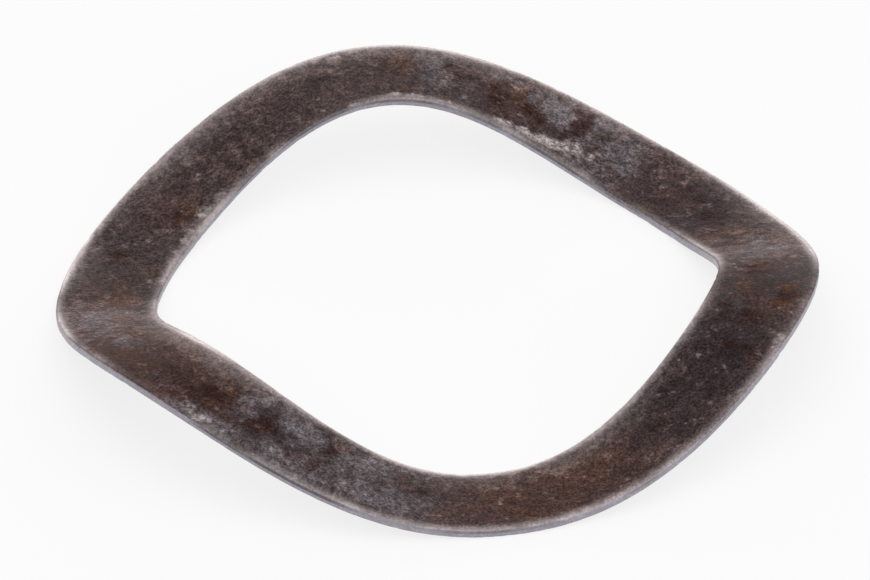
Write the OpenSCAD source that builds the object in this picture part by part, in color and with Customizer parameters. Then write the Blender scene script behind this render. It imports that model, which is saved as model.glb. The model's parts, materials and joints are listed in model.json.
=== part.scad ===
// Wave spring washer: a flat ring blanked from thin spring steel, then formed into waves.
// It is loaded between two flat faces, on its crests and its troughs.
// The origin is on the axis of the bore, in the plane that the troughs rest on.

/* [Ring] */
// Outer diameter
outer_d = 21.8; // [20.5:0.1:30]
// Diameter of the bore
bore_d = 16; // [8:0.1:19.5]
// Thickness of the sheet
sheet_t = 0.3; // [0.2:0.01:0.6]

/* [Waves] */
// Number of waves round the ring
waves = 3; // [2:1:5]
// Height from a trough to a crest, measured on one face of the sheet
wave_h = 2.35; // [0.5:0.05:3.5]
// Narrowness of the crests, where 1 makes them as wide as the troughs
crest_narrowness = 1.15; // [1:0.05:1.5]
// Direction of the first crest, in degrees anticlockwise from +X
first_crest = -19; // [-60:1:60]

/* [Edges] */
// Radius of the rounding along the blanked edges
edge_r = 0.08; // [0.03:0.01:0.09]

/* [Hidden] */

// Steps from a trough to the next crest
flank_steps = 20;
// Steps along the rounding of each edge
edge_steps = 3;
steps = 2 * waves * flank_steps;
round_steps = 3 * steps;

outer_r = outer_d / 2;
bore_r = bore_d / 2;
half_t = sheet_t / 2;
free_height = wave_h + sheet_t;

// How far the formed blank runs past its walls, so that its straight steps
// reach the true cylinders that trim it
overrun = 2 * outer_r * (1 / cos(180 / steps) - 1);
// How far the trimming ring stands above and below the washer
trim_margin = 1;

// Share of the wave's height at an angle from a crest, from 0 in a trough to 1 on a crest
function rise(angle) = (1 + cos(waves * angle)) / 2;

// Height of the middle of the sheet above the middle of the sheet in a trough
function mid_z(angle) = wave_h * pow(rise(angle), crest_narrowness);

// Slope of the sheet along the circle of radius r
function slope(angle, r) =
    -wave_h * crest_narrowness * pow(rise(angle), crest_narrowness - 1)
    * sin(waves * angle) * waves / (2 * r);

// A point of the sheet, at an angle from a crest, from its radius and its height over the
// middle of the sheet, which is measured square to the sheet
function sheet_point(angle, r, over) = [
    r * cos(angle),
    r * sin(angle),
    half_t + mid_z(angle) + over * sqrt(1 + pow(slope(angle, r), 2))
];

// One rounded corner of the section, a quarter turn from the direction given
function corner(r, over, from) = [
    for (i = [0 : edge_steps])
        let (turn = from + 90 * i / edge_steps)
        [r + (edge_r + overrun) * cos(turn), over + edge_r * sin(turn)]
];

// Section of the sheet across the ring, as radius and height over its middle
function section() = let (flat = half_t - edge_r) concat(
    corner(outer_r - edge_r, flat, 0),
    corner(bore_r + edge_r, flat, 90),
    corner(bore_r + edge_r, -flat, 180),
    corner(outer_r - edge_r, -flat, 270)
);

// The section carried round the ring over the waves
module formed_blank() {
    outline = section();
    count = len(outline);
    points = [
        for (i = [0 : steps - 1], p = outline)
            sheet_point(360 * i / steps, p[0], p[1])
    ];
    faces = [
        for (i = [0 : steps - 1], j = [0 : count - 1])
            let (
                here = i * count,
                next = (i + 1) % steps * count,
                k = (j + 1) % count
            )
            each [
                [here + j, next + k, next + j],
                [here + j, here + k, next + k]
            ]
    ];
    polyhedron(points, faces);
}

// A plain ring with the true cylinders of the rim and the bore
module trimming_ring() {
    height = free_height + 2 * trim_margin;
    translate([0, 0, -trim_margin])
        difference() {
            cylinder(h = height, r = outer_r, $fn = round_steps);
            translate([0, 0, -trim_margin])
                cylinder(h = height + 2 * trim_margin, r = bore_r, $fn = round_steps);
        }
}

module wave_washer() {
    color("#4d4644")
        rotate([0, 0, first_crest])
            intersection() {
                formed_blank();
                trimming_ring();
            }
}

wave_washer();
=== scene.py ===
# Dresses a wave spring washer: the formed ring, its oxidised finish, and a pale studio round it.

import json
import math
from functools import partial

import bpy
from bpy.props import FloatProperty, FloatVectorProperty, IntProperty, PointerProperty
from mathutils import Matrix, Vector, noise
from mathutils.kdtree import KDTree


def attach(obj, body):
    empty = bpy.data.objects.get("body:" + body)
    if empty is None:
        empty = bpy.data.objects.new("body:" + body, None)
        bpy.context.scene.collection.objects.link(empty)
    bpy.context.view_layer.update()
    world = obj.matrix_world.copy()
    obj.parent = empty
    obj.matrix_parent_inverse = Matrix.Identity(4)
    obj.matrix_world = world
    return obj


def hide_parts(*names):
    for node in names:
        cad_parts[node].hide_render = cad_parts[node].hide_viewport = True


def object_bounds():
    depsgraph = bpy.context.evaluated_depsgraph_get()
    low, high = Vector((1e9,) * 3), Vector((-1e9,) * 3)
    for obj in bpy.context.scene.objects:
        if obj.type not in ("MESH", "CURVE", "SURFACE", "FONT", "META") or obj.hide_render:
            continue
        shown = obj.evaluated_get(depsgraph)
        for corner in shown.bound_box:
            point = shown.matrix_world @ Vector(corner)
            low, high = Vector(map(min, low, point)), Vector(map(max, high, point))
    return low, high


bl_info = {
    "name": "Wave Spring Washer",
    "version": (1, 0, 0),
    "blender": (4, 5, 0),
    "location": "3D View > Sidebar > Wave Washer",
    "description": "Forms a wave spring washer in oxidised spring steel and sets a pale studio round it",
    "category": "Object",
}

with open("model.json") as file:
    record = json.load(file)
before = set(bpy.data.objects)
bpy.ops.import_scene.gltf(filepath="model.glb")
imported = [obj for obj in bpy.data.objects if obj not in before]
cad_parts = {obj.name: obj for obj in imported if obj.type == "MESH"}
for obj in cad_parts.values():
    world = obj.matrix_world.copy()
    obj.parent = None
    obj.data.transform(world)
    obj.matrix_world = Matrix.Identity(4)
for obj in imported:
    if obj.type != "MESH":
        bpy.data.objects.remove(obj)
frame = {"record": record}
cad_low, cad_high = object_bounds()

MM = 0.001
WHITE = (1.0, 1.0, 1.0, 1.0)
NODE = "wave_washer"
PIECE = "formed_ring"
SEED = 7

mounts = {mount["name"]: mount for mount in frame["record"]["mounts"]}
rim_radius = (cad_high.x - cad_low.x) / 2
hole_radius = mounts["bore"]["dims"]["r_mm"] * MM
free_height = cad_high.z - cad_low.z
sheet = 0.3 * MM


def linear(hex_colour):
    """Turns an sRGB hex value into the linear colour that Blender works in"""
    channels = []
    for start in (1, 3, 5):
        value = int(hex_colour[start:start + 2], 16) / 255
        channels.append(value / 12.92 if value <= 0.04045 else ((value + 0.055) / 1.055) ** 2.4)
    return (*channels, 1.0)


class WaveWasherSizes(bpy.types.PropertyGroup):
    """Sizes of the ring and its waves"""
    outer_radius: FloatProperty(
        name="Outer Radius", description="Radius of the rim",
        default=rim_radius, min=0.001, unit="LENGTH", precision=5)
    bore_radius: FloatProperty(
        name="Bore Radius", description="Radius of the bore",
        default=hole_radius, min=0.001, unit="LENGTH", precision=5)
    sheet_thickness: FloatProperty(
        name="Sheet Thickness", description="Thickness of the spring steel sheet",
        default=sheet, min=0.0001, unit="LENGTH", precision=5)
    wave_height: FloatProperty(
        name="Wave Height", description="Height from a trough to a crest on one face",
        default=free_height - sheet, min=0.0, unit="LENGTH", precision=5)
    waves: IntProperty(
        name="Waves", description="Number of waves round the ring", default=3, min=2, max=5)
    crest_narrowness: FloatProperty(
        name="Crest Narrowness", description="1 makes the crests as wide as the troughs",
        default=1.15, min=1.0, max=1.5)
    first_crest: FloatProperty(
        name="First Crest", description="Direction of the first crest, anticlockwise from +X",
        default=math.radians(-19), subtype="ANGLE")
    edge_radius: FloatProperty(
        name="Edge Radius", description="Rounding along the blanked edges",
        default=0.08 * MM, min=0.0, unit="LENGTH", precision=5)
    roll_off: FloatProperty(
        name="Roll-off", description="How far the upper face falls away at the edges",
        default=0.015 * MM, min=0.0, unit="LENGTH", precision=6)
    roll_width: FloatProperty(
        name="Roll-off Width", description="Width over which the upper face falls away",
        default=0.6 * MM, min=0.0, unit="LENGTH", precision=5)
    tear_depth: FloatProperty(
        name="Tear Depth", description="How far the torn lower part of the blanked wall draws back",
        default=0.012 * MM, min=0.0, unit="LENGTH", precision=6)
    unevenness: FloatProperty(
        name="Unevenness", description="Deepest hollow that tumbling has left in the faces",
        default=0.010 * MM, min=0.0, unit="LENGTH", precision=6)
    nick_depth: FloatProperty(
        name="Nick Depth", description="Deepest nick along the rounded edges",
        default=0.022 * MM, min=0.0, unit="LENGTH", precision=6)
    ring_steps: IntProperty(
        name="Ring Steps", description="Steps round the ring", default=900, min=60)
    edge_steps: IntProperty(
        name="Edge Steps", description="Steps round each rounded edge", default=5, min=1)
    cell: FloatProperty(
        name="Cell", description="Longest step across the sheet",
        default=0.08 * MM, min=0.00002, unit="LENGTH", precision=6)


class WaveWasherFinish(bpy.types.PropertyGroup):
    """Colours of the oxide, the rust and the rubbed steel; the fawn oxide and the rubbed steel also serve
    as painted sheen and painted highlights
    """
    oxide: FloatVectorProperty(
        name="Oxide", description="Purplish brown oxide that most of the skin shows",
        subtype="COLOR", size=4, default=linear("#493C3B"))
    umber: FloatVectorProperty(
        name="Umber Oxide", description="Warmer oxide with a little rust in it",
        subtype="COLOR", size=4, default=linear("#4F372F"))
    gunmetal: FloatVectorProperty(
        name="Gunmetal Oxide", description="Cool, nearly black oxide",
        subtype="COLOR", size=4, default=linear("#2C2326"))
    # fawn oxide is also the colour of the painted sheen on the flanks that lean back
    fawn_and_sheen: FloatVectorProperty(
        name="Fawn Oxide", description="Thin pale oxide",
        subtype="COLOR", size=4, default=linear("#705D58"))
    chocolate: FloatVectorProperty(
        name="Chocolate Rust", description="Dense dark rust",
        subtype="COLOR", size=4, default=linear("#34211D"))
    ginger: FloatVectorProperty(
        name="Ginger Rust", description="Thin bright rust",
        subtype="COLOR", size=4, default=linear("#624534"))
    haze: FloatVectorProperty(
        name="Grey Haze", description="Thin bluish oxide with the steel showing through",
        subtype="COLOR", size=4, default=linear("#777176"))
    # rubbed steel is also the colour of the painted highlights along the edges
    rubbed_and_highlit: FloatVectorProperty(
        name="Rubbed Steel", description="Steel rubbed bare",
        subtype="COLOR", size=4, default=linear("#938988"))
    wall_torn: FloatVectorProperty(
        name="Torn Wall", description="Torn lower part of the blanked wall",
        subtype="COLOR", size=4, default=linear("#9F9AA2"))
    wall_cut: FloatVectorProperty(
        name="Cut Wall", description="Smooth cut part of the blanked wall",
        subtype="COLOR", size=4, default=linear("#666166"))
    roughness: FloatProperty(
        name="Roughness", description="Roughness of the oxide", default=0.6, min=0.0, max=1.0)


class WaveWasherStudio(bpy.types.PropertyGroup):
    """Camera, floor and lamps"""
    lens: FloatProperty(
        name="Lens", description="Focal length in millimetres", default=1000.0, min=1.0)
    distance: FloatProperty(
        name="Distance", description="From the camera to the washer",
        default=0.6897, min=0.01, unit="LENGTH")
    elevation: FloatProperty(
        name="Elevation", description="Height of the camera above the floor's plane, as an angle",
        default=math.radians(33.62), subtype="ANGLE")
    roll: FloatProperty(
        name="Roll", description="Clockwise turn of the camera about its line of sight",
        default=math.radians(0.31), subtype="ANGLE")
    aside: FloatProperty(
        name="Aside", description="How far the camera is aimed to the right of the washer's centre",
        default=-0.069 * MM, unit="LENGTH", precision=6)
    above: FloatProperty(
        name="Above", description="How far the camera is aimed above the washer's centre",
        default=-0.063 * MM, unit="LENGTH", precision=6)
    floor_size: FloatProperty(
        name="Floor Size", description="Side of the floor", default=3.0, min=0.1, unit="LENGTH")
    floor_colour: FloatVectorProperty(
        name="Floor", description="Pale matt floor", subtype="COLOR", size=4,
        default=linear("#F6F6F6"))
    air: FloatProperty(
        name="Room Light", description="Strength of the even light of the room", default=0.45, min=0.0)
    glow: FloatProperty(
        name="Floor Glow", description="Share of the floor that shows as plain white to the camera",
        default=0.8, min=0.0, max=1.0, subtype="FACTOR")


def add_node(tree, kind, inputs=(), output=0, **settings):
    """Adds a node with its settings, fills or links its inputs, and returns one of its outputs"""
    node = tree.nodes.new(kind)
    for name, value in settings.items():
        setattr(node, name, value)
    sockets = {socket.identifier: socket for socket in node.inputs}
    sockets.update(enumerate(node.inputs))
    if not isinstance(inputs, dict):
        inputs = dict(enumerate(inputs))
    for key, value in inputs.items():
        if isinstance(value, bpy.types.NodeSocket):
            tree.links.new(value, sockets[key])
        else:
            sockets[key].default_value = value
    outputs = {socket.identifier: socket for socket in node.outputs}
    outputs.update(enumerate(node.outputs))
    return outputs.get(output)


def from_edge(tree, across):
    """How far in from the nearer edge a point lies, as a share of the ring's width"""
    off_middle = add_node(tree, "ShaderNodeMath", (across, 0.5), operation="SUBTRACT")
    off_middle = add_node(tree, "ShaderNodeMath", (off_middle,), operation="ABSOLUTE")
    return add_node(tree, "ShaderNodeMath", (0.5, off_middle), operation="SUBTRACT")


def ring_tree():
    """Geometry nodes that sweep the sheet's section round the ring and lift it over the waves"""
    tree = bpy.data.node_groups.new("wave washer", "GeometryNodeTree")
    add = partial(add_node, tree)
    kinds = {
        "Outer Radius": "Float", "Bore Radius": "Float", "Sheet Thickness": "Float",
        "Wave Height": "Float", "Waves": "Int", "Crest Narrowness": "Float", "First Crest": "Float",
        "Edge Radius": "Float", "Roll-off": "Float", "Roll-off Width": "Float",
        "Tear Depth": "Float", "Unevenness": "Float", "Nick Depth": "Float",
        "Ring Steps": "Int", "Edge Steps": "Int", "Cell": "Float", "Seed": "Float",
        "Finish": "Material",
    }
    for name, kind in kinds.items():
        tree.interface.new_socket(name=name, in_out="INPUT", socket_type="NodeSocket" + kind)
    tree.interface.new_socket(name="Geometry", in_out="OUTPUT", socket_type="NodeSocketGeometry")
    size = {socket.name: socket for socket in tree.nodes.new("NodeGroupInput").outputs}
    math_node = "ShaderNodeMath"

    # the blank: the sheet's rounded section, cut finely across the flats, swept round the ring
    width = add(math_node, (size["Outer Radius"], size["Bore Radius"]), operation="SUBTRACT")
    middle = add(math_node, (width, 0.5, size["Bore Radius"]), operation="MULTIPLY_ADD")
    half_sheet = add(math_node, (size["Sheet Thickness"], 0.5), operation="MULTIPLY")
    path = add("GeometryNodeCurvePrimitiveCircle",
               {"Resolution": size["Ring Steps"], "Radius": middle}, mode="RADIUS")
    path = add("GeometryNodeSetCurveNormal", (path,), mode="Z_UP")
    section = add("GeometryNodeCurvePrimitiveQuadrilateral",
                  {"Width": width, "Height": size["Sheet Thickness"]}, mode="RECTANGLE")
    section = add("GeometryNodeFilletCurve",
                  {"Curve": section, "Count": size["Edge Steps"], "Radius": size["Edge Radius"],
                   "Limit Radius": True}, mode="POLY")
    here = add("GeometryNodeInputPosition")
    following = add("GeometryNodeOffsetPointInCurve", {"Offset": 1}, "Point Index")
    following = add("GeometryNodeFieldAtIndex", {"Value": here, "Index": following},
                    data_type="FLOAT_VECTOR", domain="POINT")
    stride = add("ShaderNodeVectorMath", (here, following), "Value", operation="DISTANCE")
    cuts = add(math_node, (stride, size["Cell"]), operation="DIVIDE")
    cuts = add(math_node, (cuts,), operation="FLOOR")
    section = add("GeometryNodeSubdivideCurve", (section, cuts))
    blank = add("GeometryNodeCurveToMesh", {"Curve": path, "Profile Curve": section})

    # where a point of the blank lies: across the ring from 0 at the bore to 1 at the rim, and
    # through the sheet from -1 underneath to 1 on top
    x = add("ShaderNodeSeparateXYZ", (here,), "X")
    y = add("ShaderNodeSeparateXYZ", (here,), "Y")
    over = add("ShaderNodeSeparateXYZ", (here,), "Z")
    flat = add("ShaderNodeCombineXYZ", (x, y))
    radius = add("ShaderNodeVectorMath", (flat,), "Value", operation="LENGTH")
    across = add(math_node, (radius, size["Bore Radius"]), operation="SUBTRACT")
    across = add(math_node, (across, width), operation="DIVIDE")
    through = add(math_node, (over, half_sheet), operation="DIVIDE")
    for name, field in (("across", across), ("through", through)):
        blank = add("GeometryNodeStoreNamedAttribute",
                    {"Geometry": blank, "Name": name, "Value": field},
                    data_type="FLOAT", domain="POINT")

    # the blanking: the upper face is drawn down towards the bore and the rim
    inset = add(math_node, (from_edge(tree, across), width), operation="MULTIPLY")
    fall = add("ShaderNodeMapRange",
               {"Value": inset, "From Min": size["Roll-off Width"], "From Max": 0.0})
    fall = add(math_node, (fall, 3.0), operation="POWER")
    drawn = add("ShaderNodeMapRange", {"Value": through, "From Min": -0.5, "From Max": 0.5})
    for factor in (size["Roll-off"], drawn):
        fall = add(math_node, (fall, factor), operation="MULTIPLY")
    thinner = add(math_node, (fall, half_sheet), operation="DIVIDE")
    thinner = add(math_node, (1.0, thinner), operation="SUBTRACT")
    over = add(math_node, (over, thinner), operation="MULTIPLY")

    # the press: lifts the middle of the sheet over the waves and keeps the sheet as thick everywhere
    angle = add(math_node, (y, x), operation="ARCTAN2")
    angle = add(math_node, (angle, size["First Crest"]), operation="SUBTRACT")
    phase = add(math_node, (angle, size["Waves"]), operation="MULTIPLY")
    rise = add(math_node, (phase,), operation="COSINE")
    rise = add(math_node, (rise, 0.5, 0.5), operation="MULTIPLY_ADD")
    lift = add(math_node, (rise, size["Crest Narrowness"]), operation="POWER")
    less = add(math_node, (size["Crest Narrowness"], 1.0), operation="SUBTRACT")
    slope = add(math_node, (rise, less), operation="POWER")
    for factor in (size["Wave Height"], size["Crest Narrowness"], size["Waves"], 0.5,
                   add(math_node, (phase,), operation="SINE")):
        slope = add(math_node, (slope, factor), operation="MULTIPLY")
    slope = add(math_node, (slope, radius), operation="DIVIDE")
    stretch = add(math_node, (slope, slope, 1.0), operation="MULTIPLY_ADD")
    stretch = add(math_node, (stretch,), operation="SQRT")
    height = add(math_node, (lift, size["Wave Height"], half_sheet), operation="MULTIPLY_ADD")
    height = add(math_node, (over, stretch, height), operation="MULTIPLY_ADD")
    lifted = add("ShaderNodeCombineXYZ", (x, y, height))
    ring = add("GeometryNodeSetPosition", {"Geometry": blank, "Position": lifted})

    # wear: shallow hollows all over, a tear that draws back low on the walls, and nicks on the edges,
    # each with its size in millimetres, the span of the noise that makes it, its depth and its places
    across = add("GeometryNodeInputNamedAttribute", {"Name": "across"}, data_type="FLOAT")
    through = add("GeometryNodeInputNamedAttribute", {"Name": "through"}, data_type="FLOAT")
    off_middle = add(math_node, (across, 0.5), operation="SUBTRACT")
    off_middle = add(math_node, (off_middle,), operation="ABSOLUTE")
    at_wall = add("ShaderNodeMapRange", {"Value": off_middle, "From Min": 0.46, "From Max": 0.5},
                  interpolation_type="SMOOTHSTEP")
    low_down = add("ShaderNodeMapRange", {"Value": through, "From Min": 0.1, "From Max": -0.6},
                   interpolation_type="SMOOTHSTEP")
    depth = 0.0
    for size_mm, low, high, deepest, places in (
        (1.6, 0.0, 1.0, "Unevenness", ()),
        (0.5, 0.1, 0.9, "Tear Depth", (at_wall, low_down)),
        (0.45, 0.56, 0.75, "Nick Depth", (at_wall,)),
    ):
        share = add("ShaderNodeTexNoise",
                    {"Vector": here, "W": size["Seed"], "Scale": 1 / (size_mm * MM), "Detail": 2.0},
                    noise_dimensions="4D")
        share = add("ShaderNodeMapRange", {"Value": share, "From Min": low, "From Max": high})
        for place in places:
            share = add(math_node, (share, place), operation="MULTIPLY")
        depth = add(math_node, (share, size[deepest], depth), operation="MULTIPLY_ADD")
    depth = add(math_node, (depth, -1.0), operation="MULTIPLY")
    inward = add("ShaderNodeVectorMath", {0: add("GeometryNodeInputNormal"), "Scale": depth},
                 operation="SCALE")
    ring = add("GeometryNodeSetPosition", {"Geometry": ring, "Offset": inward})
    ring = add("GeometryNodeSetShadeSmooth", (ring,))
    ring = add("GeometryNodeRealizeInstances", (ring,))
    ring = add("GeometryNodeSetMaterial", {"Geometry": ring, "Material": size["Finish"]})
    add("NodeGroupOutput", (ring,))
    return tree


# Radii of the rim and the bore in millimetres, on which the marks of the edges are centred
RIM = 10.9
BORE = 8.0

# Marks on the skin, as ovals: direction in degrees, radius, half length along the ring and half
# breadth across it in millimetres, turn in degrees, and strength. They are placed on the upper face
# and reach down the walls, and the lower face has them again, further round the ring
MARKS = {
    # shades of the oxide; fawn is also a painted sheen on the flanks that lean back towards the back lamps
    "umber": (
        (23, 9.1, 1.0, 1.0, 0, 0.6), (41, 8.9, 1.2, 0.9, 0, 0.6), (77, 9.3, 1.5, 1.1, 0, 0.5),
        (145.5, 8.8, 0.7, 0.6, 0, 0.7), (174, 9.2, 1.4, 0.9, 0, 0.8), (196, 9.2, 1.6, 0.7, 0, 0.8),
        (212, 9.5, 2.4, 1.9, 0, 1.1), (227, 9.7, 1.8, 1.4, 0, 0.9), (282, 8.4, 2.6, 0.7, 0, 0.7),
        (289, 9.3, 3.0, 1.9, 0, 1.0), (301, 9.4, 0.8, 1.3, 0, 0.6), (346, 9.7, 1.6, 1.4, 0, 0.8),
        (353, 9.4, 2.0, 1.6, 0, 0.75),
    ),
    "gunmetal": (
        (37, 9.3, 1.3, 1.4, 0, 0.7), (42, 8.8, 1.4, 0.9, 0, 0.7), (134, 9.0, 1.8, 0.9, 0, 0.5),
        (152, 9.6, 1.2, 0.8, 0, 0.4), (216, 9.9, 2.0, 1.2, 0, 0.45), (241, 9.4, 0.9, 1.0, 0, 0.7),
        (315, 9.4, 1.6, 1.5, 0, 0.75), (326, 9.5, 1.5, 1.4, 0, 1.1), (335, 9.3, 0.9, 1.3, 0, 0.75),
        (351, 9.4, 1.6, 1.8, 0, 0.75),
    ),
    # fawn near 0 to 27 and 179 to 197 degrees is a painted sheen on flanks that lean back
    "fawn_and_sheen": (
        (4, 8.7, 0.9, 0.8, 0, 0.7), (13, 9.4, 1.5, 1.9, 0, 1.15), (17, 8.8, 1.2, 0.7, 0, 0.9),
        (19, 10.2, 1.2, 0.6, 0, 0.8), (23, 9.6, 0.9, 1.3, 0, 0.6), (27, 10.5, 1.2, 0.4, 0, 0.7),
        (85, 10.4, 7.0, 0.8, 0, 0.8), (130, 8.8, 1.0, 0.7, 0, 0.6), (179, 8.9, 0.7, 1.0, 0, 0.6),
        (186, 9.6, 1.4, 1.7, 0, 1.2), (190, 9.5, 1.2, 0.9, 0, 0.6), (197, 9.6, 1.0, 1.5, 0, 0.8),
        (208, 8.5, 3.0, 0.6, 0, 0.9), (290, 8.5, 2.0, 0.5, 0, 0.6),
    ),
    "haze": (
        (12, 9.4, 1.2, 0.9, 0, 0.55), (58, 9.3, 1.1, 1.3, 0, 0.7), (61.5, 10.2, 0.5, 0.7, 0, 0.7),
        (63, 9.2, 1.0, 0.4, 0, 0.6), (69, 9.9, 0.4, 0.55, 0, 1.3), (72, 10.3, 1.4, 0.3, 0, 0.7),
        (73.8, 9.95, 0.25, 0.35, 0, 1.0), (85, 8.6, 0.5, 0.3, 0, 0.6), (90, 9.4, 1.0, 1.2, 0, 0.55),
        (190, 9.8, 1.4, 0.9, 0, 0.65), (203, 9.6, 0.7, 0.4, 20, 0.6), (232, 10.6, 1.2, 0.4, 0, 0.9),
        (234.5, 9.2, 0.4, 0.9, 15, 0.7), (245, 8.9, 0.9, 0.8, 0, 0.8), (246, 10.4, 1.9, 0.6, 0, 0.8),
        (257, 9.4, 2.0, 1.5, 0, 0.7),
    ),
    # rust
    "chocolate": (
        (0, 9.2, 0.35, 0.5, 0, 0.7), (20, 8.9, 0.5, 0.4, 0, 0.6), (32.5, 9.4, 0.6, 0.5, 0, 0.6),
        (40, 9.7, 0.7, 0.4, 0, 0.5), (65, 9.7, 0.32, 0.9, 0, 1.2), (72.5, 9.3, 0.5, 0.45, 15, 0.9),
        (78.8, 9.3, 0.4, 0.8, 0, 0.85), (82.5, 9.7, 0.5, 0.6, 0, 0.55), (87, 9.9, 0.3, 0.5, 0, 0.6),
        (145.5, 8.8, 0.35, 0.45, 0, 0.95), (150, 9.2, 0.35, 0.35, 0, 0.7),
        (154.5, 10.5, 0.3, 0.25, 0, 0.6), (161, 9.7, 0.3, 0.3, 0, 0.7), (227, 9.9, 1.3, 0.8, 0, 0.75),
        (238.3, 9.5, 0.45, 0.5, 0, 1.0), (246, 9.7, 0.25, 0.5, 15, 0.8), (249.5, 9.9, 0.3, 0.5, 20, 0.8),
        (250.2, 9.0, 0.3, 0.4, 0, 0.7), (268, 9.2, 0.4, 0.3, 0, 0.6), (309.5, 9.4, 0.4, 0.4, 0, 0.5),
        (331, 9.8, 0.35, 0.6, 0, 0.7), (338, 9.6, 0.4, 0.35, 0, 1.0), (338.5, 8.7, 0.6, 0.3, 0, 0.6),
        (343, 9.2, 0.5, 0.3, 0, 0.6), (346, 10.2, 0.9, 0.3, 0, 0.8), (355, 9.0, 0.4, 0.5, 0, 0.6),
    ),
    "ginger": (
        (1.5, 9.2, 0.4, 0.3, 0, 0.7), (24, 9.2, 0.5, 0.4, 0, 0.5), (37, 9.2, 0.3, 0.2, 0, 0.6),
        (42, 8.4, 0.35, 0.3, 0, 0.8), (43, 9.2, 0.3, 0.25, 0, 0.6), (47.5, 9.95, 0.22, 0.22, 0, 0.9),
        (75, 9.35, 0.2, 0.3, 15, 0.8), (76.2, 9.85, 0.2, 0.45, 15, 1.2), (95.2, 10.1, 0.3, 0.4, 0, 1.2),
        (96.5, 8.5, 0.3, 0.3, 0, 0.6), (96.6, 9.6, 0.35, 0.4, 0, 1.1), (144.5, 8.6, 0.35, 0.3, 0, 0.75),
        (163.5, 8.5, 0.4, 0.25, 0, 0.7), (175, 9.1, 1.0, 0.4, 0, 0.8), (194, 10.3, 0.5, 0.4, 0, 0.6),
        (198, 9.25, 0.8, 0.25, 0, 0.8), (213, 10.1, 1.0, 0.6, 0, 0.5), (251.5, 8.6, 0.25, 0.3, 0, 0.8),
        (263, 9.0, 0.2, 0.25, 0, 0.6), (301, 9.3, 0.35, 0.5, 0, 0.55), (328, 10.5, 0.3, 0.25, 0, 0.7),
        (343, 10.2, 0.5, 0.25, 0, 0.8), (349, 8.9, 0.5, 0.3, 0, 0.8), (349.5, 10.2, 0.4, 0.3, 0, 0.9),
    ),
    # edges where the wall shows its smooth cut band
    "sheared": (
        (49, BORE, 1.2, 1.2, 0, 0.7), (65, BORE, 1.4, 1.2, 0, 1.0), (80, BORE, 1.0, 1.2, 0, 0.7),
        (98, BORE, 1.8, 1.2, 0, 0.75), (115, BORE, 1.4, 1.2, 0, 0.9), (131, BORE, 1.0, 1.2, 0, 0.7),
        (201, RIM, 1.2, 1.2, 0, 0.3), (236, RIM, 1.0, 1.2, 0, 0.9), (247, RIM, 2.0, 1.2, 0, 1.1),
        (277, RIM, 2.4, 1.2, 0, 0.6), (302, RIM, 0.8, 1.2, 0, 0.5), (317, RIM, 1.2, 1.2, 0, 0.6),
    ),
    # edges where the oxide is still sound; on edges that face the camera they also hold the pale band back
    # as painted shade
    "sound_and_shaded": (
        (38, BORE, 2.2, 1.0, 0, 0.6), (50, BORE, 1.2, 1.0, 0, 0.9), (65, BORE, 1.4, 1.0, 0, 0.6),
        (80, BORE, 1.0, 1.0, 0, 0.5), (115, BORE, 1.8, 1.0, 0, 0.9), (130, BORE, 1.0, 1.0, 0, 0.7),
        (172, BORE, 1.0, 1.0, 0, 0.6), (178, RIM, 1.4, 1.0, 0, 0.6), (184, BORE, 1.2, 1.0, 0, 0.5),
        (202, RIM, 1.6, 1.0, 0, 0.7), (222, RIM, 3.0, 1.0, 0, 0.9), (237, RIM, 1.2, 1.0, 0, 0.7),
        (247, RIM, 1.6, 1.0, 0, 0.5), (317, RIM, 1.6, 1.0, 0, 0.65), (340, RIM, 1.4, 1.0, 0, 0.7),
        (350, BORE, 1.8, 1.0, 0, 0.8), (352, RIM, 2.4, 1.0, 0, 0.8),
    ),
    # edges worn far into the face; most of them lean back towards the back lamps, and their pale band is
    # also a painted highlight
    "worn_and_highlit": (
        (13, RIM, 2.6, 1.2, 0, 0.55), (14, BORE, 1.2, 1.2, 0, 0.45), (33, RIM, 4.0, 1.2, 0, 0.6),
        (65, RIM, 3.0, 1.2, 0, 0.6), (84, RIM, 1.6, 1.2, 0, 0.9), (92, BORE, 2.0, 1.2, 0, 0.2),
        (106, RIM, 6.0, 1.2, 0, 0.8), (132, RIM, 2.6, 1.2, 0, 1.0), (150, BORE, 2.6, 1.2, 0, 0.55),
        (150, RIM, 2.6, 1.2, 0, 0.5), (164, RIM, 2.0, 1.2, 0, 0.65), (184, RIM, 2.2, 1.2, 0, 0.3),
        (208, BORE, 4.0, 1.2, 0, 0.85), (225, BORE, 1.6, 1.2, 0, 1.0), (240, BORE, 1.2, 1.2, 0, 0.7),
        (276, BORE, 3.0, 1.2, 0, 0.7), (290, RIM, 1.6, 1.2, 0, 0.3), (302, BORE, 2.4, 1.2, 0, 0.9),
        (334, BORE, 2.0, 1.2, 0, 0.4),
    ),
    # places rubbed down to the steel; the narrow ones on the rim's rounding are also painted highlights
    "rubbed_and_highlit": (
        (5, 8.5, 1.0, 0.4, 0, 0.3), (14, 8.12, 1.2, 0.16, 0, 0.6), (62, 8.75, 0.4, 0.22, -20, 1.1),
        (64, 8.35, 0.7, 0.25, 0, 0.5), (67, 8.55, 0.5, 0.26, -18, 1.1), (71.5, 8.3, 0.4, 0.24, -15, 1.0),
        (77, 8.2, 0.4, 0.25, -15, 1.0), (94, 8.08, 1.8, 0.12, 0, 1.1), (107, 10.75, 1.6, 0.25, 0, 0.85),
        (142, 8.2, 0.6, 0.3, 0, 0.95), (151, 8.12, 0.8, 0.22, 0, 0.85), (158, 8.05, 1.0, 0.2, 0, 0.6),
        (231, 10.7, 0.8, 0.2, 0, 0.8), (246, 10.8, 1.3, 0.12, 0, 0.6), (323.5, 10.8, 0.6, 0.2, 0, 0.55),
        (334, 10.75, 0.6, 0.2, 0, 0.8),
    ),
}

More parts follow.
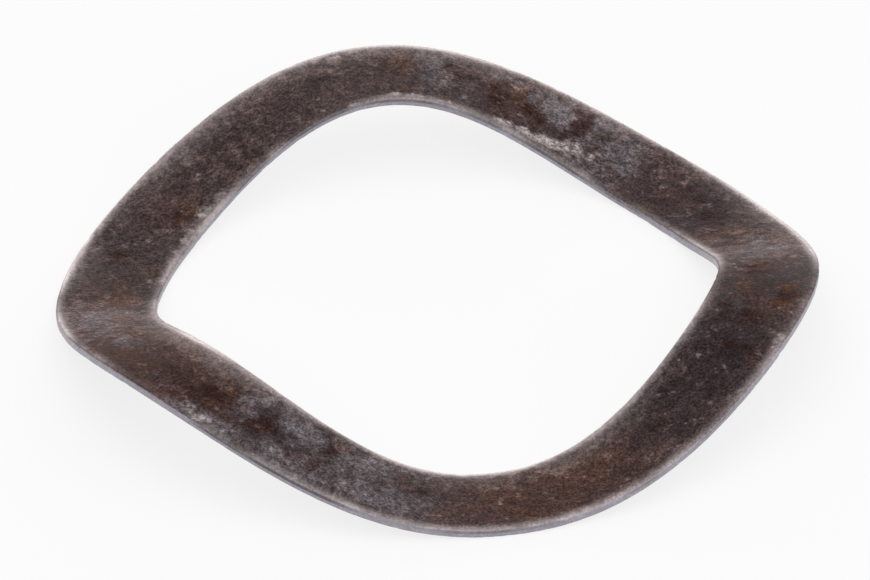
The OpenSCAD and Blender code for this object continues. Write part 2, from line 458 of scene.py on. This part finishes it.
# An oval is at its full strength out to 0.4 of its half length and half breadth, and gone at 1.6
OVAL_END = 1.6
OVAL_FADE = 1.2

# How coarsely and how far the outlines of the ovals are frayed, in millimetres
FRAY_SIZE = 0.45
FRAY_REACH = 0.2

# How much further round the ring the lower face has its marks
LOWER_TURN = math.radians(137)


def lay_marks(mesh):
    """Stores on each point of the ring how near it lies to the marks of each kind"""
    # without a seed of its own the noise would be another one at each run
    noise.seed_set(SEED)
    further = Matrix.Rotation(LOWER_TURN, 2)
    points = KDTree(len(mesh.vertices))
    for vertex, through in zip(mesh.vertices, mesh.attributes["through"].data):
        spot = vertex.co + noise.noise_vector(vertex.co / (FRAY_SIZE * MM)) * FRAY_REACH * MM
        if through.value < -0.5:
            spot.xy = further @ spot.xy
        points.insert((spot.x, spot.y, 0.0), vertex.index)
    points.balance()
    for kind, ovals in MARKS.items():
        near = [0.0] * len(mesh.vertices)
        for degrees, radius, half_length, half_breadth, turn, strength in ovals:
            angle = math.radians(degrees)
            centre = Vector((radius * math.cos(angle), radius * math.sin(angle), 0.0)) * MM
            upright = Matrix.Rotation(-math.radians(turn), 2)
            reach = OVAL_END * max(half_length, half_breadth) * MM
            for spot, index, _ in points.find_range(centre, reach):
                past = math.remainder(math.atan2(spot.y, spot.x) - angle, math.tau)
                along, out = upright @ Vector((radius * past, spot.length / MM - radius))
                far = math.hypot(along / half_length, out / half_breadth)
                near[index] = max(near[index], strength * min(1.0, (OVAL_END - far) / OVAL_FADE))
        mesh.attributes.new(kind, "FLOAT", "POINT").data.foreach_set("value", near)


def spring_steel(finish):
    """Spring steel with a tumbled, oxidised skin"""
    # The oxide gives a matt purplish brown. Rust, grey haze and pin-sized bright specks break it up, and
    # bare steel comes through softly where the edges and a few places are rubbed. Pale oxide and bare
    # steel are also laid on as painted sheen and painted highlights on flanks and edges that lean towards
    # the back lamps, and held back as painted shade on edges that face the camera.
    material = bpy.data.materials.new("oxidised_spring_steel")
    material.use_nodes = True
    tree = material.node_tree
    tree.nodes.clear()
    add = partial(add_node, tree)
    math_node = "ShaderNodeMath"

    place = add("ShaderNodeTexCoord", output="Object")
    place = add("ShaderNodeMapping", {"Vector": place, "Scale": (1 / MM,) * 3})
    across = add("ShaderNodeAttribute", output="Fac", attribute_name="across")
    through = add("ShaderNodeAttribute", output="Fac", attribute_name="through")

    # patterns by the size of their features in millimetres, with detail and roughness; the grain of
    # the real skin is under 0.05 mm and is drawn coarser so that it shows
    noises = {}
    for name, size_mm, detail, rough in (
        ("drift", 3.2, 2.0, 0.5), ("cloud", 0.95, 3.0, 0.6), ("patch", 0.42, 2.0, 0.6),
        ("mottle", 0.18, 2.0, 0.6), ("grain", 0.07, 1.0, 0.5),
    ):
        given = {"Vector": place, "Scale": 1 / size_mm, "Detail": detail, "Roughness": rough}
        noises[name] = add("ShaderNodeTexNoise", given)
        noises[name + " colour"] = add("ShaderNodeTexNoise", given, "Color")

    # the marks of each kind: how much of the skin it takes over at its strongest, how ragged it is, and
    # the noise and channel that break it up. That noise adds half of the raggedness on average, and the
    # limits between which the mark comes in rise by as much
    mottled = 0.6
    faint = 0.48
    whole = 1.35
    masks = {}
    # fawn also paints sheen, worn and rubbed also paint highlights, and sound also paints shade along the
    # edges
    for kind, most, ragged, source, channel in (
        ("umber", 0.8, 1.4, "cloud", "Red"), ("gunmetal", 0.8, 1.4, "cloud", "Green"),
        ("fawn_and_sheen", 0.55, 2.4, "patch", "Red"), ("haze", 0.65, 1.8, "cloud", "Blue"),
        ("chocolate", 0.85, 1.8, "patch", "Green"), ("ginger", 0.4, 1.6, "patch", "Blue"),
        ("sheared", 1.0, 0.6, "cloud", "Green"), ("sound_and_shaded", 0.9, 0.0, "cloud", "Red"),
        ("worn_and_highlit", 1.0, 0.0, "cloud", "Red"), ("rubbed_and_highlit", 0.75, 1.8, "patch", "Red"),
    ):
        near = add("ShaderNodeAttribute", output="Fac", attribute_name=kind)
        spread = add("ShaderNodeSeparateColor", (noises[source + " colour"],), channel)
        spread = add(math_node, (spread, ragged, near), operation="MULTIPLY_ADD")
        spread = add(math_node, (noises["mottle"], mottled, spread), operation="MULTIPLY_ADD")
        masks[kind] = add("ShaderNodeMapRange", {
            "Value": spread, "From Min": faint + ragged / 2, "From Max": whole + ragged / 2,
            "To Max": most}, interpolation_type="SMOOTHSTEP")

    # rubbed edges, measured in shares of the ring's width of 2.9 mm: palest on the rounding and gone
    # 0.4 mm in, partly rubbed steel and partly a painted highlight on the rounding. Worn edges, which
    # mostly lean away from the camera, take a stronger painted highlight that fades out only about the
    # middle of the ring; sound oxide, as painted shade, holds the band back on edges that face the camera,
    # and clouds make it uneven
    rounding = 0.03
    rubbed_to = 0.135
    wide_band_to = 0.55
    inset = from_edge(tree, across)
    margin = add("ShaderNodeMapRange", {"Value": inset, "From Min": rubbed_to, "From Max": rounding})
    margin = add(math_node, (margin, 2.0), operation="POWER")
    strength = add(math_node, (masks["worn_and_highlit"], 0.35, 0.8), operation="MULTIPLY_ADD")
    held = add(math_node, (1.0, masks["sound_and_shaded"]), operation="SUBTRACT")
    for factor in (strength, held):
        margin = add(math_node, (margin, factor), operation="MULTIPLY")
    # the wide band along the worn edges: wear with a painted highlight on it
    wide = add("ShaderNodeMapRange", {"Value": inset, "From Min": wide_band_to, "From Max": 0.0})
    wide = add(math_node, (wide, 1.8), operation="POWER")
    wide = add(math_node, (wide, masks["worn_and_highlit"]), operation="MULTIPLY")
    margin = add(math_node, (wide, 0.52, margin), operation="MULTIPLY_ADD")
    uneven = add("ShaderNodeMapRange", {"Value": noises["cloud"], "From Min": 0.35, "From Max": 0.65,
                                        "To Min": 0.82, "To Max": 1.15})
    margin = add(math_node, (margin, uneven), operation="MULTIPLY", use_clamp=True)
    # the pale edge band, rubbed steel with a painted highlight, joins the rubbed places
    masks["rubbed_and_highlit"] = add(math_node, (masks["rubbed_and_highlit"], margin), operation="MAXIMUM")

    # pin-sized specks of bare steel, drawn about 0.1 mm wide so that they show
    speck_spacing = 0.36
    specks = {"Vector": place, "Scale": 1 / speck_spacing}
    near = add("ShaderNodeTexVoronoi", specks, "Distance")
    near = add("ShaderNodeMapRange", {"Value": near, "From Min": 0.2, "From Max": 0.05})
    bright = add("ShaderNodeTexVoronoi", specks, "Color")
    bright = add("ShaderNodeSeparateColor", (bright,), "Red")
    bright = add("ShaderNodeMapRange", {"Value": bright, "From Min": 0.65, "From Max": 1.0, "To Max": 0.4})
    masks["speck"] = add(math_node, (near, bright), operation="MULTIPLY")

    # the colours, laid over each other
    tone = finish.oxide
    for kind, colour in (("umber", finish.umber), ("gunmetal", finish.gunmetal), ("fawn_and_sheen", finish.fawn_and_sheen),
                         ("haze", finish.haze), ("chocolate", finish.chocolate),
                         ("ginger", finish.ginger), ("rubbed_and_highlit", finish.rubbed_and_highlit),
                         ("speck", finish.rubbed_and_highlit)):
        tone = add("ShaderNodeMix", {"Factor_Float": masks[kind], "A_Color": tone, "B_Color": colour},
                   "Result_Color", data_type="RGBA")

    # the blanked wall: pale and torn, with a darker smooth cut band above where it is sheared. Its lean
    # takes it round the whole lower rounding, but only part of the way up the upper one
    lean = 0.02
    band = 0.42
    wall = add(math_node, (through, lean, inset), operation="MULTIPLY_ADD")
    wall = add("ShaderNodeMapRange", {"Value": wall, "From Min": rounding, "From Max": 0.01},
               interpolation_type="SMOOTHSTEP")
    cut = add(math_node, (through, band), operation="SUBTRACT")
    cut = add(math_node, (cut,), operation="ABSOLUTE")
    cut = add("ShaderNodeMapRange", {"Value": cut, "From Min": 0.55, "From Max": 0.2},
              interpolation_type="SMOOTHSTEP")
    cut = add(math_node, (cut, masks["sheared"]), operation="MULTIPLY")
    wall_tone = add("ShaderNodeMix", {"Factor_Float": cut, "A_Color": finish.wall_torn,
                                      "B_Color": finish.wall_cut}, "Result_Color", data_type="RGBA")
    tone = add("ShaderNodeMix", {"Factor_Float": wall, "A_Color": tone, "B_Color": wall_tone},
               "Result_Color", data_type="RGBA")

    # light and dark in the skin, from wide drifts down to grain, calmer along the rubbed and
    # painted-highlight edges and on the wall
    bare_and_highlit = add(math_node, (masks["rubbed_and_highlit"], wall), operation="MAXIMUM")
    light = 1.0
    for name, dark, pale in (("drift", 0.9, 1.1), ("cloud", 0.8, 1.2), ("patch", 0.82, 1.18),
                             ("mottle", 0.66, 1.34), ("grain", 0.5, 1.5)):
        step = add("ShaderNodeMapRange", {"Value": noises[name], "From Min": 0.33, "From Max": 0.67,
                                          "To Min": dark, "To Max": pale})
        light = add(math_node, (light, step), operation="MULTIPLY")
    calm = add(math_node, (margin, wall), operation="MAXIMUM")
    calm = add(math_node, (calm, 0.6), operation="POWER")
    calm = add(math_node, (calm, 0.75), operation="MULTIPLY")
    light = add("ShaderNodeMix", {"Factor_Float": calm, "A_Float": light, "B_Float": 1.0}, "Result_Float")
    tone = add("ShaderNodeVectorMath", {0: tone, "Scale": light}, operation="SCALE")

    # gloss: bare steel and the painted highlights along the edges are metallic and smoother, rust is
    # rougher, and the matt oxide has next to none
    bare_metallic = 0.85
    bare_roughness = 0.36
    rust_roughness = 0.85
    metallic = add("ShaderNodeMapRange", {"Value": bare_and_highlit, "To Max": bare_metallic})
    rusty = add(math_node, (masks["chocolate"], masks["ginger"]), operation="MAXIMUM")
    roughness = add("ShaderNodeMapRange", {"Value": rusty, "To Min": finish.roughness,
                                           "To Max": rust_roughness})
    roughness = add("ShaderNodeMix", {"Factor_Float": bare_and_highlit, "A_Float": roughness,
                                      "B_Float": bare_roughness}, "Result_Float")
    for name in ("cloud", "mottle"):
        rougher = add(math_node, (noises[name], 0.5), operation="SUBTRACT")
        roughness = add(math_node, (rougher, 0.4, roughness), operation="MULTIPLY_ADD")

    # relief: the mottle and the grain stand up a little, less so where the skin is calm
    relief_height = 0.02 * MM
    relief = add(math_node, (noises["grain"], 0.35, noises["mottle"]), operation="MULTIPLY_ADD")
    crisp = add(math_node, (1.0, calm), operation="SUBTRACT")
    bump = add("ShaderNodeBump", {"Height": relief, "Strength": crisp, "Distance": relief_height})
    shader = add("ShaderNodeBsdfPrincipled", {
        "Base Color": tone, "Metallic": metallic, "Roughness": roughness, "Normal": bump,
        "Specular IOR Level": 0.02})
    add("ShaderNodeOutputMaterial", (shader,))
    return material


class WASHER_OT_form_ring(bpy.types.Operator):
    """Blanks the ring, forms its waves and gives it the oxidised finish"""
    bl_idname = "washer.form_ring"
    bl_label = "Form the Ring"

    def execute(self, context):
        sizes = context.scene.wave_washer_sizes
        tree = ring_tree()
        given = {
            "Outer Radius": sizes.outer_radius, "Bore Radius": sizes.bore_radius,
            "Sheet Thickness": sizes.sheet_thickness, "Wave Height": sizes.wave_height,
            "Waves": sizes.waves, "Crest Narrowness": sizes.crest_narrowness,
            "First Crest": sizes.first_crest, "Edge Radius": sizes.edge_radius,
            "Roll-off": sizes.roll_off, "Roll-off Width": sizes.roll_width,
            "Tear Depth": sizes.tear_depth, "Unevenness": sizes.unevenness,
            "Nick Depth": sizes.nick_depth, "Ring Steps": sizes.ring_steps,
            "Edge Steps": sizes.edge_steps, "Cell": sizes.cell, "Seed": float(SEED),
            "Finish": spring_steel(context.scene.wave_washer_finish),
        }
        carrier = bpy.data.objects.new("ring_carrier", bpy.data.meshes.new("ring_carrier"))
        context.scene.collection.objects.link(carrier)
        modifier = carrier.modifiers.new("Wave Washer", "NODES")
        modifier.node_group = tree
        for item in tree.interface.items_tree:
            if item.in_out == "INPUT":
                modifier[item.identifier] = given[item.name]
        formed = carrier.evaluated_get(context.evaluated_depsgraph_get())
        mesh = bpy.data.meshes.new_from_object(formed)
        mesh.name = PIECE
        lay_marks(mesh)
        bpy.data.objects.remove(carrier)
        ring = bpy.data.objects.new(PIECE, mesh)
        context.scene.collection.objects.link(ring)
        slack = 0.001 * MM
        for vertex in mesh.vertices:
            for axis in range(3):
                if not cad_low[axis] - slack < vertex.co[axis] < cad_high[axis] + slack:
                    raise RuntimeError("the formed ring leaves the box of the washer it stands for")
        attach(ring, "root")
        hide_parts(NODE)
        return {"FINISHED"}


def looked_at(tree):
    """1 where the camera, a reflection or a clear body looks at the surroundings, and 0 for their light"""
    shown = 0.0
    for ray in ("Is Camera Ray", "Is Glossy Ray", "Is Transmission Ray"):
        seen = add_node(tree, "ShaderNodeLightPath", output=ray)
        shown = add_node(tree, "ShaderNodeMath", (shown, seen), operation="MAXIMUM")
    return shown


class WASHER_OT_set_studio(bpy.types.Operator):
    """Lays the pale floor, hangs the lamps and aims the camera"""
    bl_idname = "washer.set_studio"
    bl_label = "Set the Studio"

    def execute(self, context):
        studio = context.scene.wave_washer_studio
        middle = (cad_low + cad_high) / 2

        # camera
        cosine = math.cos(studio.elevation)
        sine = math.sin(studio.elevation)
        back = Vector((0.0, -cosine, sine))
        level_right = Vector((1.0, 0.0, 0.0))
        level_up = Vector((0.0, sine, cosine))
        right = level_right * math.cos(studio.roll) - level_up * math.sin(studio.roll)
        up = level_right * math.sin(studio.roll) + level_up * math.cos(studio.roll)
        camera = bpy.data.objects.new("camera", bpy.data.cameras.new("camera"))
        context.scene.collection.objects.link(camera)
        camera.data.lens = studio.lens
        camera.data.clip_start = 0.01
        camera.data.clip_end = 10.0
        aim = middle + right * studio.aside + up * studio.above
        turn = Matrix((right, up, back)).transposed().to_4x4()
        camera.matrix_world = Matrix.Translation(aim + back * studio.distance) @ turn
        context.scene.camera = camera

        # floor
        half = studio.floor_size / 2
        corners = [(-half, -half, 0), (half, -half, 0), (half, half, 0), (-half, half, 0)]
        mesh = bpy.data.meshes.new("floor")
        mesh.from_pydata(corners, [], [(0, 1, 2, 3)])
        floor = bpy.data.objects.new("floor", mesh)
        context.scene.collection.objects.link(floor)
        paper = bpy.data.materials.new("floor_paper")
        paper.use_nodes = True
        tree = paper.node_tree
        tree.nodes.clear()
        matt = add_node(tree, "ShaderNodeBsdfDiffuse", (studio.floor_colour,))
        white = add_node(tree, "ShaderNodeEmission", (WHITE, 1.0))
        shown = add_node(tree, "ShaderNodeMath", (looked_at(tree), studio.glow), operation="MULTIPLY")
        mixed = add_node(tree, "ShaderNodeMixShader", (shown, matt, white))
        add_node(tree, "ShaderNodeOutputMaterial", (mixed,))
        mesh.materials.append(paper)

        # room light
        world = bpy.data.worlds.new("room")
        context.scene.world = world
        world.use_nodes = True
        tree = world.node_tree
        tree.nodes.clear()
        even = add_node(tree, "ShaderNodeBackground", (WHITE, studio.air))
        plain = add_node(tree, "ShaderNodeBackground", (WHITE, 1.0))
        mixed = add_node(tree, "ShaderNodeMixShader", (looked_at(tree), even, plain))
        add_node(tree, "ShaderNodeOutputWorld", (mixed,))

        # lamps: name, place, breadth, height and radiance
        for name, spot, breadth, height, radiance in (
            ("back_softbox", (0.0, 1.3, 0.3), 2.0, 0.6, 2.7),
            ("side_softbox", (1.2, -0.6, 0.45), 1.3, 0.9, 1.2),
            ("top_softbox", (-0.1, -0.45, 1.2), 1.6, 2.2, 0.95),
        ):
            lamp = bpy.data.lights.new(name, "AREA")
            lamp.shape = "RECTANGLE"
            lamp.size = breadth
            lamp.size_y = height
            lamp.energy = radiance * math.pi * breadth * height
            hung = bpy.data.objects.new(name, lamp)
            context.scene.collection.objects.link(hung)
            away = Vector(spot)
            hung.matrix_world = (Matrix.Translation(away)
                                 @ away.to_track_quat("Z", "Y").to_matrix().to_4x4())
            hung.visible_camera = False
        context.scene.view_settings.view_transform = "Standard"
        return {"FINISHED"}


class WASHER_PT_panel(bpy.types.Panel):
    """Lists the steps and the values of the washer"""
    bl_idname = "WASHER_PT_panel"
    bl_label = "Wave Washer"
    bl_space_type = "VIEW_3D"
    bl_region_type = "UI"
    bl_category = "Wave Washer"

    def draw(self, context):
        layout = self.layout
        for step in STEPS:
            layout.operator(step.bl_idname)
        for name in GROUPS:
            group = getattr(context.scene, name)
            box = layout.box()
            box.label(text=group.bl_rna.description)
            for key in group.bl_rna.properties.keys():
                if key not in ("rna_type", "name"):
                    box.prop(group, key)


STEPS = (WASHER_OT_form_ring, WASHER_OT_set_studio)
GROUPS = {
    "wave_washer_sizes": WaveWasherSizes,
    "wave_washer_finish": WaveWasherFinish,
    "wave_washer_studio": WaveWasherStudio,
}


def register():
    for group in (*GROUPS.values(), *STEPS, WASHER_PT_panel):
        bpy.utils.register_class(group)
    for name, group in GROUPS.items():
        setattr(bpy.types.Scene, name, PointerProperty(type=group))


def unregister():
    for name in GROUPS:
        delattr(bpy.types.Scene, name)
    for group in reversed((*GROUPS.values(), *STEPS, WASHER_PT_panel)):
        bpy.utils.unregister_class(group)


def main():
    register()
    for step in STEPS:
        group, name = step.bl_idname.split(".")
        getattr(getattr(bpy.ops, group), name)()


if __name__ == "__main__":
    main()
